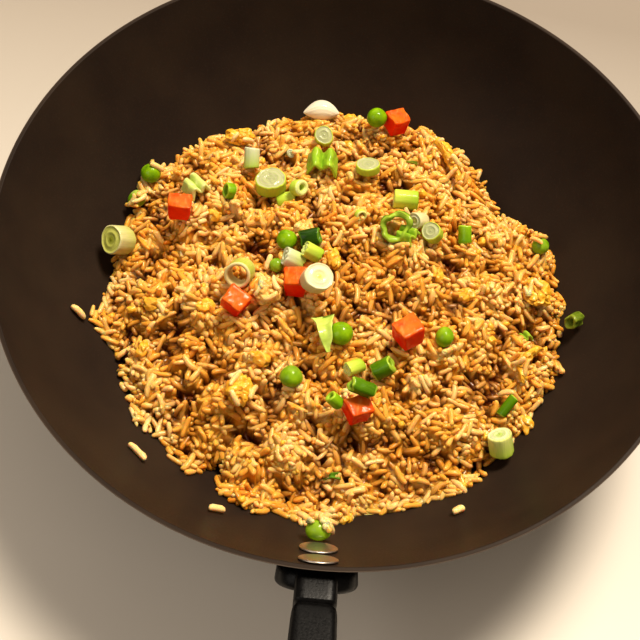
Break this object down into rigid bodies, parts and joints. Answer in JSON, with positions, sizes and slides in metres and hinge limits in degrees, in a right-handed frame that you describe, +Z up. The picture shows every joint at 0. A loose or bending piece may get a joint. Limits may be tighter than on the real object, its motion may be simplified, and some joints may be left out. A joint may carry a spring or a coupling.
{
  "type": "fried rice in a wok",
  "caption": "Dark wok with a riveted handle, holding a heap of fried rice with peas, diced carrot, cut spring onion and scrambled egg.",
  "frame": {"origin": "centre of the wok's flat base, on its underside", "axes": "+Z up out of the wok, -Y along the handle, +X to the right seen from the handle"},
  "size_m": [0.26, 0.4332, 0.1282],
  "materials": {
    "wok": "dark brown-grey satin coating on pressed steel",
    "handle": "black moulded phenolic, finely pebbled, semi-gloss",
    "rivet": "plain steel rivet heads, lightly polished",
    "rice": "cooked long rice browned with soy and oil, moist",
    "pea": "moist green pea skin",
    "carrot": "cooked diced carrot, moist cut faces",
    "egg": "scrambled egg, curdled and lightly browned",
    "spring_onion": "cut spring onion, pale stem to dark green leaf",
    "onion_bulb": "slice of white spring onion bulb, moist"
  },
  "bodies": {
    "root": {"carrot_01": "carrot", "carrot_02": "carrot", "carrot_03": "carrot", "carrot_04": "carrot", "carrot_05": "carrot", "carrot_06": "carrot", "egg_01": "egg", "egg_02": "egg", "egg_03": "egg", "egg_04": "egg", "egg_05": "egg", "egg_06": "egg", "handle_bracket": "handle", "handle_grip": "handle", "onion_bulb_slice": "onion_bulb", "pea_01": "pea", "pea_02": "pea", "pea_03": "pea", "pea_04": "pea", "pea_05": "pea", "pea_06": "pea", "pea_07": "pea", "pea_08": "pea", "pea_09": "pea", "pea_10": "pea", "rice_heap": "rice", "rivet_lower": "rivet", "rivet_upper": "rivet", "spring_onion_01": "spring_onion", "spring_onion_02": "spring_onion", "spring_onion_03": "spring_onion", "spring_onion_04": "spring_onion", "spring_onion_05": "spring_onion", "spring_onion_06": "spring_onion", "spring_onion_07": "spring_onion", "spring_onion_08": "spring_onion", "spring_onion_09": "spring_onion", "spring_onion_10": "spring_onion", "spring_onion_11": "spring_onion", "spring_onion_12": "spring_onion", "spring_onion_13": "spring_onion", "spring_onion_14": "spring_onion", "spring_onion_15": "spring_onion", "spring_onion_16": "spring_onion", "spring_onion_17": "spring_onion", "spring_onion_18": "spring_onion", "spring_onion_19": "spring_onion", "spring_onion_20": "spring_onion", "spring_onion_21": "spring_onion", "spring_onion_22": "spring_onion", "spring_onion_23": "spring_onion", "spring_onion_24": "spring_onion", "spring_onion_25": "spring_onion", "spring_onion_26": "spring_onion", "spring_onion_27": "spring_onion", "stray_grain_01": "rice", "stray_grain_02": "rice", "stray_grain_03": "rice", "stray_grain_04": "rice", "wok_pan": "wok"}
  },
  "joints": []
}
